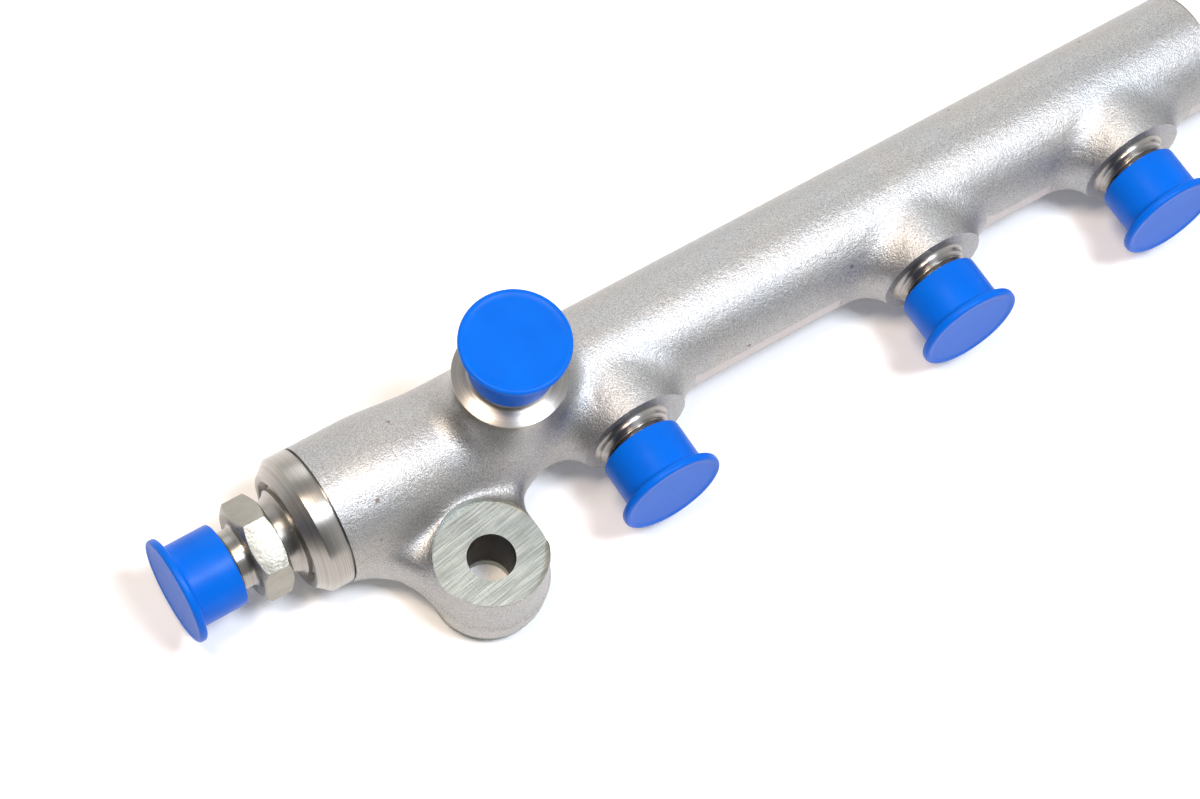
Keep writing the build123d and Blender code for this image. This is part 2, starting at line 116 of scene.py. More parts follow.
# The room is white, with a greyer ceiling between its lamps. It is dim on the side behind the
# camera, which is what draws the dark bands on the turned metal.
room = bpy.data.worlds.new("bright_room")
bpy.context.scene.world = room
room.use_nodes = True
tree = room.node_tree
room_level = 0.24
dim_side = Vector((-0.80, -0.60, 0.20)).normalized()
dim_from, dim_full = 0.10, 0.75
dim_colour = "#505258"
ceiling_dimness = 0.52
ceiling_from, ceiling_full = 0.35, 0.90
rays = add_node(tree, "ShaderNodeLightPath")
direction = add_node(tree, "ShaderNodeTexCoord").outputs["Generated"]
facing = add_node(tree, "ShaderNodeVectorMath", {0: direction, 1: dim_side},
                  operation="DOT_PRODUCT")
dimness = add_node(tree, "ShaderNodeMapRange",
                   {"Value": facing.outputs["Value"], "From Min": dim_from, "From Max": dim_full},
                   interpolation_type="SMOOTHSTEP")
height = add_node(tree, "ShaderNodeSeparateXYZ", {"Vector": direction})
overhead = add_node(tree, "ShaderNodeMapRange",
                    {"Value": height.outputs["Z"], "From Min": ceiling_from,
                     "From Max": ceiling_full, "To Max": ceiling_dimness},
                    interpolation_type="SMOOTHSTEP")
dimness = add_node(tree, "ShaderNodeMath", {0: dimness.outputs[0], 1: overhead.outputs[0]},
                   operation="MAXIMUM")
reflected = add_node(tree, "ShaderNodeMix", {0: dimness.outputs[0]}, data_type="RGBA")
reflected.inputs[6].default_value = (1, 1, 1, 1)
reflected.inputs[7].default_value = linear(dim_colour)
glossy = add_node(tree, "ShaderNodeMix",
                  {0: rays.outputs["Is Glossy Ray"], 7: reflected.outputs[2]}, data_type="RGBA")
glossy.inputs[6].default_value = (1, 1, 1, 1)
tree.links.new(glossy.outputs[2], tree.nodes["Background"].inputs["Color"])
seen = add_node(tree, "ShaderNodeMath", {0: rays.outputs["Is Camera Ray"],
                                         1: rays.outputs["Is Glossy Ray"]}, operation="MAXIMUM")
seen = add_node(tree, "ShaderNodeMath",
                {0: seen.outputs[0], 1: rays.outputs["Is Transmission Ray"]}, operation="MAXIMUM")
level = add_node(tree, "ShaderNodeMix", {0: seen.outputs[0], 2: room_level, 3: 1.0},
                 data_type="FLOAT")
tree.links.new(level.outputs[0], tree.nodes["Background"].inputs["Strength"])

# Each lamp's place, size, power and colour. All are aimed at the valve's half of the bar.
lamp_target = Vector((-0.06, 0, 0))
soft_boxes = {"cool_ceiling_lamp": ((0.16, -0.28, 1.00), 0.30, 10.0, "#EEF4FF"),
              "warm_ceiling_lamp": ((-0.34, 0.10, 0.95), 0.26, 6.0, "#FFEBD6"),
              "back_reflector": ((0.30, 0.90, 0.50), 0.50, 1.5, "#FFFFFF")}
for name, (place, size, power, colour) in soft_boxes.items():
    aim = (lamp_target - Vector(place)).to_track_quat("-Z", "Y").to_euler()
    bpy.ops.object.light_add(type="AREA", location=place, rotation=aim)
    lamp = bpy.context.object
    lamp.name = name
    lamp.data.size = size
    lamp.data.energy = power
    lamp.data.color = linear(colour)[:3]


# ==== Rail: one forging with its bosses and ears ====
# Medium-carbon steel, forged, shot-blasted, then turned, milled and bored. The skin is dull
# silver with a fine grain, and the cut faces are bright.
mm = 0.001


def shaped_copy(node_name, piece_name):
    """Copy of a CAD node's mesh as a piece of its own, with its loose triangles joined up."""
    node = frame["nodes"][node_name]
    piece = bpy.data.objects.new(piece_name, node.data.copy())
    bpy.context.collection.objects.link(piece)
    bpy.ops.object.select_all(action="DESELECT")
    piece.select_set(True)
    bpy.context.view_layer.objects.active = piece
    bpy.ops.object.mode_set(mode="EDIT")
    bpy.ops.mesh.select_all(action="SELECT")
    bpy.ops.mesh.remove_doubles(threshold=0.001 * mm)
    bpy.ops.object.mode_set(mode="OBJECT")
    piece.data.materials.clear()
    return piece


def stand(origin, axis):
    """Matrix that puts a piece made along Z at the origin on to a place and a direction."""
    return Matrix.Translation(origin) @ Vector(axis).to_track_quat("Z", "Y").to_matrix().to_4x4()


mounts = {mount["name"]: mount for mount in frame["record"]["mounts"]}
outlet_names = [f"injector_outlet_{number}" for number in (1, 2, 3, 4)]
connection_places = {name: stand(mounts[name]["pos_m"], mounts[name]["axis"])
                     for name in outlet_names + ["pump_inlet", "return_outlet"]}
rail_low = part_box("rail_body")[0]
rail_centre = mounts["return_outlet"]["pos_m"]
rail_axis_place = stand((0, rail_centre[1], rail_centre[2]), (1, 0, 0))

rail = shaped_copy("rail_body", "forged_rail")
mesh = rail.data
corners = np.empty(len(mesh.vertices) * 3)
mesh.vertices.foreach_get("co", corners)
corners = np.column_stack([corners.reshape(-1, 3) / mm, np.ones(len(mesh.vertices))])
faces = np.array([face.vertices[:] for face in mesh.polygons])


def in_place(place):
    """The rail's points in millimetres, measured from a place's own axes, face by face."""
    matrix = np.array(place.inverted())
    matrix[:3, 3] /= mm
    return (corners @ matrix.T)[faces][:, :, :3]


def radius_of(points):
    """Distance of points from the place's axis."""
    return np.hypot(points[:, :, 0], points[:, :, 1])


# The machined faces are taken off, which leaves the bare forging: the ends and the long bore,
# each connection from its boss's face down to the bore, and the ears' pads and holes.
bar_half_length = 147
end_face_from = 146.9
bore_reach = 10.3
bore_wall = 4.9
outlet_face_depth, inlet_face_depth = 13.0, 14.3
face_slack = 0.03
boss_reach = 10.7
port_reach, port_bottom = 5.2, -26
from_axis = radius_of(in_place(rail_axis_place))
along = np.abs(in_place(rail_axis_place)[:, :, 2])
cut = (along > end_face_from).all(axis=1) | (from_axis < bore_reach).all(axis=1)
boss_face_depth = {name: outlet_face_depth for name in outlet_names}
boss_face_depth["pump_inlet"] = inlet_face_depth
for name, depth in boss_face_depth.items():
    points = in_place(connection_places[name])
    radius, height = radius_of(points), points[:, :, 2]
    cut |= (height > face_slack - depth).all(axis=1) & (radius < boss_reach).all(axis=1)
    cut |= ((radius < port_reach).all(axis=1) & (height > port_bottom).all(axis=1)
            & (from_axis > bore_wall).all(axis=1))
ear_x = 125.0
ear_radius = 11.0
ear_top = 15.1
ear_hole_radius = 4.5
pad_reach, pad_top = 10.4, 2.05
hole_reach = 4.7
for x in (-ear_x, ear_x):
    points = in_place(stand((x * mm, 0, 0), (0, 0, 1)))
    radius = radius_of(points)
    cut |= (radius < pad_reach).all(axis=1) & (points[:, :, 2] < pad_top).all(axis=1)
    cut |= (radius < hole_reach).all(axis=1)
bpy.ops.object.mode_set(mode="EDIT")
bpy.ops.mesh.select_mode(type="FACE")
bpy.ops.mesh.select_all(action="DESELECT")
bpy.ops.object.mode_set(mode="OBJECT")
mesh.polygons.foreach_set("select", cut)
bpy.ops.object.mode_set(mode="EDIT")
bpy.ops.mesh.delete(type="FACE")
bpy.ops.mesh.select_all(action="SELECT")
bpy.ops.mesh.fill_holes(sides=0)
bpy.ops.mesh.normals_make_consistent(inside=False)
bpy.ops.object.mode_set(mode="OBJECT")


def add_rod(radius, start, end, place, points_round=96):
    """A rod between two heights on a place's axis; all in millimetres but the place."""
    bpy.ops.object.select_all(action="DESELECT")
    bpy.ops.mesh.primitive_cylinder_add(vertices=points_round, radius=radius * mm,
                                        depth=(end - start) * mm,
                                        location=(0, 0, (start + end) / 2 * mm))
    rod = bpy.context.object
    bpy.ops.object.transform_apply(location=True, rotation=True, scale=True)
    rod.data.transform(place)
    return rod


def join_pieces(pieces, name):
    """One object of several."""
    bpy.ops.object.select_all(action="DESELECT")
    for piece in pieces:
        piece.select_set(True)
    bpy.context.view_layer.objects.active = pieces[0]
    bpy.ops.object.join()
    pieces[0].name = name
    return pieces[0]


def arc_points(centre, radius, start, end, steps):
    """Points of an arc in a profile, from one angle in degrees to another."""
    angles = [math.radians(start + (end - start) * step / steps) for step in range(steps + 1)]
    return [(centre[0] + radius * math.cos(angle), centre[1] + radius * math.sin(angle))
            for angle in angles]


# Stock that the forging has where it is cut later, so that each cut leaves a sharp edge: each
# rod's radius, and the heights where it starts and ends.
ear_stock = (10.55, 9.0, 18.0)
end_stock = (13.3, -4.0, 4.0)
outlet_stock = (10.45, -14.0, -9.5)
inlet_stock = (10.25, -16.5, -11.0)
ear_places = [stand((x * mm, 0, 0), (0, 0, 1)) for x in (-ear_x, ear_x)]
end_places = [stand((side * bar_half_length * mm, rail_centre[1], rail_centre[2]), (side, 0, 0))
              for side in (-1, 1)]
boss_shift = Matrix.Translation((1.0 * mm, 0, 0))
stock = [add_rod(*ear_stock, place) for place in ear_places]
stock += [add_rod(*end_stock, place) for place in end_places]
stock += [add_rod(*outlet_stock, boss_shift @ connection_places[name]) for name in outlet_names]
stock.append(add_rod(*inlet_stock, connection_places["pump_inlet"]))
# Flares that widen each ear's root: wide on its outer side, tighter towards the first outlet.
# Their tops rise towards the bar.
outer_flare_radius, inner_flare_radius = 15.0, 8.0
flare_steps = 12
flare_line = 11.5
flare_back = 17.0
flare_low = 4.5
flare_height = 10
flare_top, rise_from, rise = 13.4, 6.0, 0.30
for side in (-1, 1):
    for direction, flare_radius in ((1, outer_flare_radius), (-1, inner_flare_radius)):
        centre_y = flare_line - flare_radius
        centre_x = math.sqrt((ear_radius + flare_radius) ** 2 - centre_y ** 2)
        first = math.degrees(math.atan2(-centre_y, -centre_x)) % 360
        plan = arc_points((centre_x, centre_y), flare_radius, first, 90, flare_steps)
        plan += [(centre_x, flare_back), (0.0, flare_back), (0.0, 0.0)]
        bpy.ops.object.select_all(action="DESELECT")
        bpy.ops.mesh.primitive_circle_add(vertices=len(plan), radius=mm, fill_type="NGON")
        web = bpy.context.object
        for point, (across, inward) in zip(web.data.vertices, plan):
            point.co = Vector((side * (ear_x + direction * across), inward, flare_low)) * mm
        bpy.ops.object.mode_set(mode="EDIT")
        bpy.ops.mesh.select_all(action="SELECT")
        bpy.ops.mesh.extrude_region_move(
            TRANSFORM_OT_translate={"value": (0, 0, flare_height * mm)})
        bpy.ops.object.mode_set(mode="OBJECT")
        for point in web.data.vertices:
            if point.co.z > (flare_low + flare_height / 2) * mm:
                point.co.z = (flare_top + max(0, point.co.y / mm - rise_from) * rise) * mm
        bpy.ops.object.mode_set(mode="EDIT")
        bpy.ops.mesh.select_all(action="SELECT")
        bpy.ops.mesh.normals_make_consistent(inside=False)
        bpy.ops.object.mode_set(mode="OBJECT")
        stock.append(web)
join_pieces([rail] + stock, "forged_rail")

# The skin is rebuilt as an even net and smoothed, as a forging's edges are by its die.
grid_size = 0.62 * mm
wear_rounds, blend_rounds = 10, 110
net = rail.modifiers.new("net", "REMESH")
net.mode = "VOXEL"
net.voxel_size = grid_size
bpy.ops.object.modifier_apply(modifier=net.name)
wear = rail.modifiers.new("die_wear", "SMOOTH")
wear.factor = 0.5
wear.iterations = wear_rounds
bpy.ops.object.modifier_apply(modifier=wear.name)

# The ears' roots were blended by hand in the die, so they are rounder than the rest.
roots = rail.vertex_groups.new(name="ear_roots")
root_low, root_high, root_fade = -3.0, 19.0, 5.0
roots_from = 95
for point in rail.data.vertices:
    inward = point.co.y / mm
    if abs(point.co.x) > roots_from * mm and root_low < inward < root_high:
        share = min(1.0, (inward - root_low) / root_fade, (root_high - inward) / root_fade)
        roots.add([point.index], share, "REPLACE")
blend = rail.modifiers.new("blended_roots", "SMOOTH")
blend.vertex_group = roots.name
blend.factor = 0.5
blend.iterations = blend_rounds
bpy.ops.object.modifier_apply(modifier=blend.name)

# Parting bead on the ears, where the two halves of the die met.
parting_height = 7.4 * mm
bead_height = 0.25 * mm
mismatch = 0.30 * mm
bead_width = 0.55 * mm
bead_fade = 4 * mm
ear_reach = 8.0 * mm
ear_half_width = 14 * mm
for point in rail.data.vertices:
    if point.co.y < ear_reach and abs(abs(point.co.x) - ear_x * mm) < ear_half_width:
        outward = Vector((point.normal.x, point.normal.y, 0))
        below = (parting_height - point.co.z) / bead_width
        shift = bead_height * math.exp(-below ** 2) + mismatch * (1 + math.tanh(below)) / 2
        fade = min(1.0, (ear_reach - point.co.y) / bead_fade)
        point.co += outward * shift * fade

# Skin: scale is knocked off with steel shot, which leaves touching craters about a quarter of a
# millimetre wide. They are drawn 0.4 mm wide here, with finer grit on them, so that they show.
grit_size = 0.25 * mm
crater_size = 1.6 * grit_size
lump_size = 1.6 * mm
tint_size = 14 * mm
spot_spacing = 8 * mm
cool_steel, warm_steel, rust = "#B4B9BE", "#C0BAB2", "#6A5240"
forged_steel, tree, shader = new_material("forged_steel_shot_blasted")
place = add_node(tree, "ShaderNodeTexCoord").outputs["Object"]
grit = add_node(tree, "ShaderNodeTexNoise",
                {"Vector": place, "Scale": 1 / grit_size, "Detail": 2.0, "Roughness": 0.6})
craters = add_node(tree, "ShaderNodeTexVoronoi", {"Vector": place, "Scale": 1 / crater_size},
                   feature="SMOOTH_F1")
lumps = add_node(tree, "ShaderNodeTexNoise",
                 {"Vector": place, "Scale": 1 / lump_size, "Detail": 3.0})
tint = add_node(tree, "ShaderNodeTexNoise",
                {"Vector": place, "Scale": 1 / tint_size, "Detail": 2.0})
tinted = add_node(tree, "ShaderNodeMix",
                  {0: tint.outputs["Fac"], 6: linear(cool_steel), 7: linear(warm_steel)},
                  data_type="RGBA")
glints = add_node(tree, "ShaderNodeMapRange",
                  {"Value": grit.outputs["Fac"], "From Min": 0.36, "From Max": 0.64,
                   "To Min": 0.60, "To Max": 1.0})
grained = add_node(tree, "ShaderNodeMix", {0: 1.0, 6: tinted.outputs[2], 7: glints.outputs[0]},
                   data_type="RGBA", blend_type="MULTIPLY")
spots = add_node(tree, "ShaderNodeTexVoronoi", {"Vector": place, "Scale": 1 / spot_spacing})
spotted = add_node(tree, "ShaderNodeMapRange",
                   {"Value": spots.outputs["Distance"], "From Min": 0.04, "From Max": 0.07,
                    "To Min": 0.75, "To Max": 0.0})
stained = add_node(tree, "ShaderNodeMix",
                   {0: spotted.outputs[0], 6: grained.outputs[2], 7: linear(rust)},
                   data_type="RGBA")
tree.links.new(stained.outputs[2], shader.inputs["Base Color"])
rough = add_node(tree, "ShaderNodeMapRange",
                 {"Value": lumps.outputs["Fac"], "To Min": 0.40, "To Max": 0.56})
tree.links.new(rough.outputs[0], shader.inputs["Roughness"])
shader.inputs["Metallic"].default_value = 1.0
waves = add_node(tree, "ShaderNodeBump",
                 {"Height": lumps.outputs["Fac"], "Distance": 0.10 * mm, "Strength": 1.0})
dents = add_node(tree, "ShaderNodeBump",
                 {"Height": craters.outputs["Distance"], "Distance": 0.045 * mm, "Strength": 1.0,
                  "Normal": waves.outputs[0]})
grains = add_node(tree, "ShaderNodeBump",
                  {"Height": grit.outputs["Fac"], "Distance": 0.08 * mm, "Strength": 1.0,
                   "Normal": dents.outputs[0]})
tree.links.new(grains.outputs[0], shader.inputs["Normal"])

# Turned faces: the tool leaves fine grooves round the axis, a tenth of a millimetre apart, drawn
# coarser here. The pattern follows the attribute that holds each face's place on its own axis.
groove_pitch = 0.22 * mm
smear_size = 5 * mm
turned_steel, tree, shader = new_material("turned_steel")
lathe = add_node(tree, "ShaderNodeAttribute", attribute_name="turning").outputs["Vector"]
lathe_axes = add_node(tree, "ShaderNodeSeparateXYZ", {"Vector": lathe})
across = add_node(tree, "ShaderNodeVectorMath", {0: lathe, 1: (1, 1, 0)}, operation="MULTIPLY")
across = add_node(tree, "ShaderNodeVectorMath", {0: across.outputs[0]}, operation="LENGTH")
path = add_node(tree, "ShaderNodeCombineXYZ",
                {"X": across.outputs["Value"], "Y": lathe_axes.outputs["Z"]})
grooves = add_node(tree, "ShaderNodeTexNoise",
                   {"Vector": path.outputs[0], "Scale": 1 / groove_pitch, "Detail": 2.0})
smears = add_node(tree, "ShaderNodeTexNoise",
                  {"Vector": lathe, "Scale": 1 / smear_size, "Detail": 3.0})
shade = add_node(tree, "ShaderNodeMix",
                 {0: grooves.outputs["Fac"], 6: linear("#7E7B76"), 7: linear("#BFBBB5")},
                 data_type="RGBA")
tree.links.new(shade.outputs[2], shader.inputs["Base Color"])
rough = add_node(tree, "ShaderNodeMapRange",
                 {"Value": smears.outputs["Fac"], "To Min": 0.26, "To Max": 0.40})
tree.links.new(rough.outputs[0], shader.inputs["Roughness"])
shader.inputs["Metallic"].default_value = 1.0
shader.inputs["Anisotropic"].default_value = 0.7
shader.inputs["Anisotropic Rotation"].default_value = 0.25
groove_run = add_node(tree, "ShaderNodeAttribute", attribute_name="groove_run").outputs["Vector"]
tree.links.new(groove_run, shader.inputs["Tangent"])
bump = add_node(tree, "ShaderNodeBump",
                {"Height": grooves.outputs["Fac"], "Distance": 0.012 * mm, "Strength": 1.0})
tree.links.new(bump.outputs[0], shader.inputs["Normal"])

# Milled faces: overlapping arcs of the cutter, with two lays of scratches from handling. Each
# lay has its turn in degrees, and its spacing and depth in millimetres.
cutter_centre = (0.035, 0.020, 0)
mill_pitch = 0.3 * mm
cloud_size = 4 * mm
scratch_stretch = (0.05, 1, 1)
scratch_lays = {"fine": (-17, 0.10, 0.010), "broad": (-10, 0.40, 0.035)}
milled_steel, tree, shader = new_material("milled_steel")
place = add_node(tree, "ShaderNodeTexCoord").outputs["Object"]
far = add_node(tree, "ShaderNodeVectorMath", {0: place, 1: cutter_centre}, operation="DISTANCE")
arcs = add_node(tree, "ShaderNodeTexNoise",
                {"W": far.outputs["Value"], "Scale": 1 / mill_pitch, "Detail": 2.0},
                noise_dimensions="1D")
scored = {}
for name, (turn, spacing, depth) in scratch_lays.items():
    lay = add_node(tree, "ShaderNodeVectorRotate", {"Vector": place, "Angle": math.radians(turn)},
                   rotation_type="Z_AXIS")
    lay = add_node(tree, "ShaderNodeVectorMath", {0: lay.outputs[0], 1: scratch_stretch},
                   operation="MULTIPLY")
    scored[name] = add_node(tree, "ShaderNodeTexNoise",
                            {"Vector": lay.outputs[0], "Scale": 1 / (spacing * mm),
                             "Detail": 3.0, "Roughness": 0.6})
cloud = add_node(tree, "ShaderNodeTexNoise",
                 {"Vector": place, "Scale": 1 / cloud_size, "Detail": 3.0})
shade = add_node(tree, "ShaderNodeMix",
                 {0: cloud.outputs["Fac"], 6: linear("#8C928D"), 7: linear("#ABB0AA")},
                 data_type="RGBA")
streaks = add_node(tree, "ShaderNodeMapRange",
                   {"Value": scored["broad"].outputs["Fac"], "From Min": 0.42, "From Max": 0.66,
                    "To Min": 0.86, "To Max": 1.14})
shade = add_node(tree, "ShaderNodeMix", {0: 1.0, 6: shade.outputs[2], 7: streaks.outputs[0]},
                 data_type="RGBA", blend_type="MULTIPLY")
tree.links.new(shade.outputs[2], shader.inputs["Base Color"])
rough = add_node(tree, "ShaderNodeMapRange",
                 {"Value": scored["broad"].outputs["Fac"], "To Min": 0.30, "To Max": 0.50})
tree.links.new(rough.outputs[0], shader.inputs["Roughness"])
shader.inputs["Metallic"].default_value = 1.0
bump = add_node(tree, "ShaderNodeBump",
                {"Height": arcs.outputs["Fac"], "Distance": 0.012 * mm, "Strength": 1.0})
for name, (turn, spacing, depth) in scratch_lays.items():
    bump = add_node(tree, "ShaderNodeBump",
                    {"Height": scored[name].outputs["Fac"], "Distance": depth * mm,
                     "Strength": 1.0, "Normal": bump.outputs[0]})
tree.links.new(bump.outputs[0], shader.inputs["Normal"])

# Parting lands: where the flash was sheared off before blasting, smoother than other skin.
shear_size = 0.8 * mm
trimmed_steel, tree, shader = new_material("trimmed_flash_line")
place = add_node(tree, "ShaderNodeTexCoord").outputs["Object"]
sheared = add_node(tree, "ShaderNodeTexNoise",
                   {"Vector": place, "Scale": 1 / shear_size, "Detail": 4.0})
shade = add_node(tree, "ShaderNodeMix",
                 {0: sheared.outputs["Fac"], 6: linear("#A9A4A3"), 7: linear("#C4BFBE")},
                 data_type="RGBA")
tree.links.new(shade.outputs[2], shader.inputs["Base Color"])
shader.inputs["Metallic"].default_value = 1.0
shader.inputs["Roughness"].default_value = 0.48
bump = add_node(tree, "ShaderNodeBump",
                {"Height": sheared.outputs["Fac"], "Distance": 0.05 * mm, "Strength": 1.0})
tree.links.new(bump.outputs[0], shader.inputs["Normal"])

# Bores: drilled and reamed, painted near-black inside as shade, because little light gets in.
feed_pitch = 0.25 * mm
bore_painted_shade, tree, shader = new_material("bore_painted_shade")
place = add_node(tree, "ShaderNodeTexCoord").outputs["Object"]
feed = add_node(tree, "ShaderNodeSeparateXYZ", {"Vector": place})
rings = add_node(tree, "ShaderNodeTexNoise",
                 {"W": feed.outputs["Z"], "Scale": 1 / feed_pitch, "Detail": 2.0},
                 noise_dimensions="1D")
shade = add_node(tree, "ShaderNodeMix",
                 {0: rings.outputs["Fac"], 6: linear("#161515"), 7: linear("#292726")},
                 data_type="RGBA")
tree.links.new(shade.outputs[2], shader.inputs["Base Color"])
shader.inputs["Metallic"].default_value = 1.0
shader.inputs["Roughness"].default_value = 0.5
bump = add_node(tree, "ShaderNodeBump",
                {"Height": rings.outputs["Fac"], "Distance": 0.02 * mm, "Strength": 1.0})
tree.links.new(bump.outputs[0], shader.inputs["Normal"])

# The cuts: both ends, each boss's face, the ears' faces and holes, and the trimmed parting
# lands. Each boss's face is left a hair high, so that it hides its turned ring's root.
land_spans = [(-74, -41), (-8, 8), (41, 74)]
land_offset = 11.85
land_block_depth, land_block_height = 4, 14
end_cut = (16, 0, 12)
boss_cut_radius, boss_cut_end = 12.8, 8
outlet_face_lift, inlet_face_lift = 0.05, 0.02
spot_face_radius = 10.6
spot_face_end = 26
spot_face_shift = Matrix.Translation((0, 0.3 * mm, 0))
hole_overrun = 1
skin_crease_angle = 38
land_blocks = []
cutters = [add_rod(*end_cut, place) for place in end_places]
cutters[0].data.materials.append(milled_steel)
cutters += [add_rod(boss_cut_radius, outlet_face_lift - outlet_face_depth, boss_cut_end,
                    connection_places[name]) for name in outlet_names]
cutters.append(add_rod(boss_cut_radius, inlet_face_lift - inlet_face_depth, boss_cut_end,
                       connection_places["pump_inlet"]))
for place in ear_places:
    spot_facer = add_rod(spot_face_radius, ear_top, spot_face_end, spot_face_shift @ place)
    spot_facer.data.materials.append(milled_steel)
    spot_facer.data.materials.append(forged_steel)
    for face in spot_facer.data.polygons:
        face.material_index = int(abs(face.normal.z) < 0.5)
    cutters.append(spot_facer)
for start, end in land_spans:
    bpy.ops.object.select_all(action="DESELECT")
    bpy.ops.mesh.primitive_cube_add(size=1)
    block = bpy.context.object
    block.scale = ((end - start) * mm, land_block_depth * mm, land_block_height * mm)
    block.location = ((start + end) / 2 * mm,
                      rail_centre[1] - (land_offset + land_block_depth / 2) * mm, rail_centre[2])
    bpy.ops.object.transform_apply(location=True, rotation=True, scale=True)
    land_blocks.append(block)
face_cutter = join_pieces(cutters, "face_cutter")
land_cutter = join_pieces(land_blocks, "land_cutter")
hole_cutter = join_pieces([add_rod(ear_hole_radius, -hole_overrun, ear_top + hole_overrun, place)
                           for place in ear_places], "hole_cutter")

rail.data.materials.clear()
rail.data.materials.append(forged_steel)
land_cutter.data.materials.append(trimmed_steel)
# The ears' holes take the bores' near-black colour, which is painted shade.
hole_cutter.data.materials.append(bore_painted_shade)
for cutter in (face_cutter, land_cutter, hole_cutter):
    bpy.ops.object.select_all(action="DESELECT")
    rail.select_set(True)
    bpy.context.view_layer.objects.active = rail
    cut = rail.modifiers.new("cut", "BOOLEAN")
    cut.operation = "DIFFERENCE"
    cut.object = cutter
    cut.solver = "MANIFOLD"
    cut.material_mode = "TRANSFER"
    bpy.ops.object.modifier_apply(modifier=cut.name)
    bpy.data.objects.remove(cutter)
bpy.ops.object.shade_smooth_by_angle(angle=math.radians(skin_crease_angle))
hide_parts("rail_body")
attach(rail, "rail")


# ==== Turned faces of the rail: end collars, each connection's ring and cone, seat pads ====
# Bright steel, cut on the forging itself. Each is its own ring here, closed, with its root
# inside the forging.
def mark_turning(piece, place):
    """Stores where each point was in the lathe, and which way the tool's grooves run there."""
    points = np.empty(len(piece.data.vertices) * 3)
    piece.data.vertices.foreach_get("co", points)
    points = points.reshape(-1, 3)
    across = np.column_stack([-points[:, 1], points[:, 0], np.zeros(len(points))])
    across /= np.maximum(np.linalg.norm(across, axis=1, keepdims=True), 0.001 * mm)
    runs = across @ np.array(place.to_3x3()).T
    for name, values in (("turning", points), ("groove_run", runs)):
        piece.data.attributes.new(name, "FLOAT_VECTOR", "POINT")
        piece.data.attributes[name].data.foreach_set("vector", values.ravel())


def turn_piece(name, profile, place, material, hollow=True, points_round=192):
    """A ring turned to a profile of (radius, height) in millimetres, put on a place's axis."""
    bpy.ops.object.select_all(action="DESELECT")
    bpy.ops.mesh.primitive_circle_add(vertices=points_round, radius=profile[0][0] * mm,
                                      location=(0, 0, profile[0][1] * mm), fill_type="NOTHING")
    piece = bpy.context.object
    piece.name = name
    bpy.ops.object.transform_apply(location=True, rotation=True, scale=True)
    bpy.ops.object.mode_set(mode="EDIT")
    bpy.ops.mesh.select_mode(type="EDGE")
    bpy.ops.mesh.select_all(action="SELECT")
    for (radius, height), (next_radius, next_height) in zip(profile, profile[1:]):
        bpy.ops.mesh.extrude_edges_move(
            TRANSFORM_OT_translate={"value": (0, 0, (next_height - height) * mm)})
        share = next_radius / radius
        bpy.ops.transform.resize(value=(share, share, 1), center_override=(0, 0, next_height * mm))
    bpy.ops.mesh.select_all(action="DESELECT")
    bpy.ops.mesh.select_non_manifold()
    if hollow:
        bpy.ops.mesh.bridge_edge_loops()
    else:
        bpy.ops.mesh.fill_holes(sides=0)
    bpy.ops.mesh.select_all(action="SELECT")
    bpy.ops.mesh.normals_make_consistent(inside=False)
    bpy.ops.object.mode_set(mode="OBJECT")
    bpy.ops.object.shade_smooth_by_angle(angle=math.radians(24))
    mark_turning(piece, place)
    piece.data.materials.append(material)
    piece.data.transform(place)
    return piece


# The profiles give each ring's corners as (radius, height), with small breaks on its edges.
collar_profile = [(12.3, -0.6), (12.3, 0.5), (13.28, 0.5), (13.37, 0.54), (13.4, 0.62),
                  (13.4, 4.3), (13.38, 4.38), (13.32, 4.46), (11.32, 6.79), (11.25, 6.86),
                  (11.14, 6.9), (10.2, 6.9), (10.08, 6.86), (9.08, 5.82), (9.05, 5.7),
                  (9.05, -0.6)]
cone_bore = [(5.5, -10.3), (5.5, -0.3), (5.3, -0.02), (4.68, 0.0), (4.58, -0.06),
             (2.62, -3.43), (2.62, -8.43), (1.5, -8.43)]
outlet_profile = [(1.5, -13.6), (9.4, -13.6), (9.4, -13.08), (9.32, -13.0)]
outlet_profile += arc_points((8.15, -12.0), 1.0, 270, 180, 12) + cone_bore
inlet_profile = [(2.0, -14.9), (10.35, -14.9), (10.35, -14.28), (10.5, -14.26), (10.6, -14.1),
                 (10.6, -12.85), (10.52, -12.7)]
inlet_profile += arc_points((8.6, -10.3), 1.6, 270, 180, 10) + [(5.5, -10.1)]
inlet_profile += cone_bore[1:-1] + [(2.0, -8.43)]
pad_profile = [(4.5, 2.4), (10.3, 2.4), (10.3, 0.2), (10.1, 0.0), (4.7, 0.0), (4.5, 0.2)]
turned_pieces = [turn_piece(f"{side}_collar", collar_profile, place, turned_steel)
                 for side, place in zip(("left", "right"), end_places)]
# Inside each collar's mouth, a lining painted near-black: painted shade in the gap round the
# screwed-in part.
lining_profile = [(9.3, 0.4), (9.3, 5.4), (9.0, 5.4), (8.95, 5.3), (8.95, 0.4)]
turned_pieces += [turn_piece(f"{side}_mouth_shade_lining", lining_profile, place, bore_painted_shade)
                  for side, place in zip(("left", "right"), end_places)]
turned_pieces += [turn_piece(f"{name}_cone", outlet_profile, connection_places[name], turned_steel)
                  for name in outlet_names]
turned_pieces.append(turn_piece("pump_inlet_cone", inlet_profile,
                                connection_places["pump_inlet"], turned_steel))
turned_pieces += [turn_piece(f"{side}_seat_pad", pad_profile, place, milled_steel, points_round=96)
                  for side, place in zip(("left", "right"), ear_places)]
for piece in turned_pieces:
    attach(piece, "rail")


# ==== Threads: M14 x 1.5 on the four outlets, the inlet and the valve's stub ====
# Cut on the bright steel itself, with a chamfered start at the end face and a run-out. The
# crest's half width and the flank are shares of the pitch.
thread_pitch = 1.5
thread_crest = 6.95
thread_root = 6.13
thread_lining = 5.0
thread_end_radius = 5.35
crest_half_width, flank_width = 0.06, 0.32
thread_rows_per_turn = 14
thread_points_round = 96


